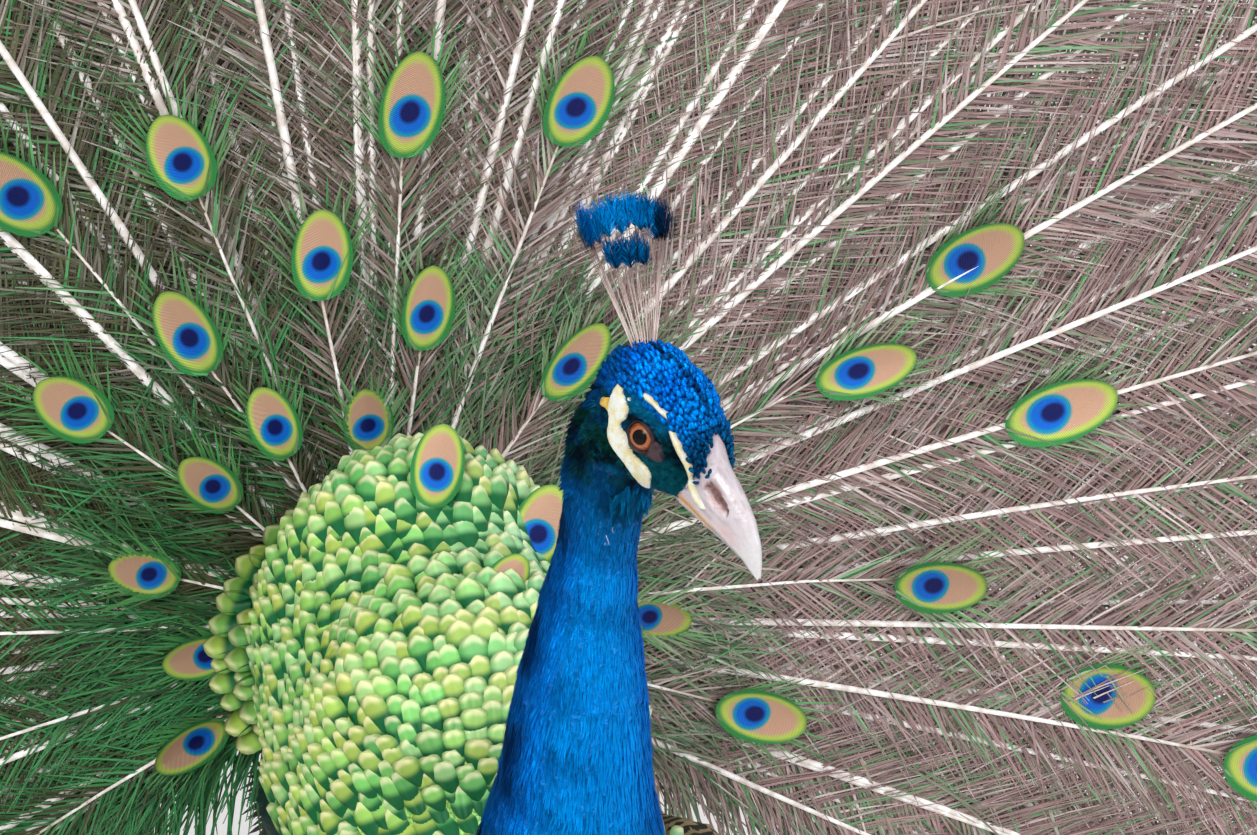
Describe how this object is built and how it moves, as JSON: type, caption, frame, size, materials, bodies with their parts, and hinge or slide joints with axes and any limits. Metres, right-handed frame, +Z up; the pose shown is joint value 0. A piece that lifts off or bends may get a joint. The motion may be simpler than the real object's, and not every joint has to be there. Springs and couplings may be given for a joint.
{
  "type": "peafowl cock model",
  "caption": "Life-size still model of an Indian peafowl cock standing in full display, train fanned upright, head turned and bowed.",
  "frame": {"origin": "centre of the bounding box in plan, on the floor under the feet", "axes": "+Z up; the bird's body faces -Y, its right side is towards -X and the fanned train stands across X behind it"},
  "size_m": [2.0996, 0.524, 1.6054],
  "materials": {
    "blue_plumage": "iridescent blue feathers over flesh",
    "crest_feathers": "blue fans on pale bare shafts",
    "dark_plumage": "dark glossy green feathers over flesh",
    "shield_scales": "gold and green scale feathers",
    "train_feathers": "bronze green barbs with eye spots",
    "tail_feathers": "grey brown stiff feathers",
    "wing_feathers": "buff feathers barred with black",
    "flight_feathers": "chestnut flight feathers",
    "buff_plumage": "buff short feathers over flesh",
    "vent_down": "pale grey fluff",
    "horn": "pale horn",
    "eye": "wet brown eye",
    "leg_skin": "grey brown scaled skin",
    "claw": "dark horn"
  },
  "bodies": {
    "root": {"bill_lower": "horn", "bill_upper": "horn", "claw_hind_left": "claw", "claw_hind_right": "claw", "claw_inner_left": "claw", "claw_inner_right": "claw", "claw_middle_left": "claw", "claw_middle_right": "claw", "claw_outer_left": "claw", "claw_outer_right": "claw", "crest": "crest_feathers", "eye_left": "eye", "eye_right": "eye", "foot_left": "leg_skin", "foot_right": "leg_skin", "head": "blue_plumage", "neck": "blue_plumage", "primaries_left": "flight_feathers", "primaries_right": "flight_feathers", "shank_left": "leg_skin", "shank_right": "leg_skin", "shield": "shield_scales", "spur_left": "claw", "spur_right": "claw", "tail": "tail_feathers", "thigh_left": "buff_plumage", "thigh_right": "buff_plumage", "train": "train_feathers", "trunk": "dark_plumage", "vent": "vent_down", "wing_left": "wing_feathers", "wing_right": "wing_feathers"}
  },
  "joints": []
}
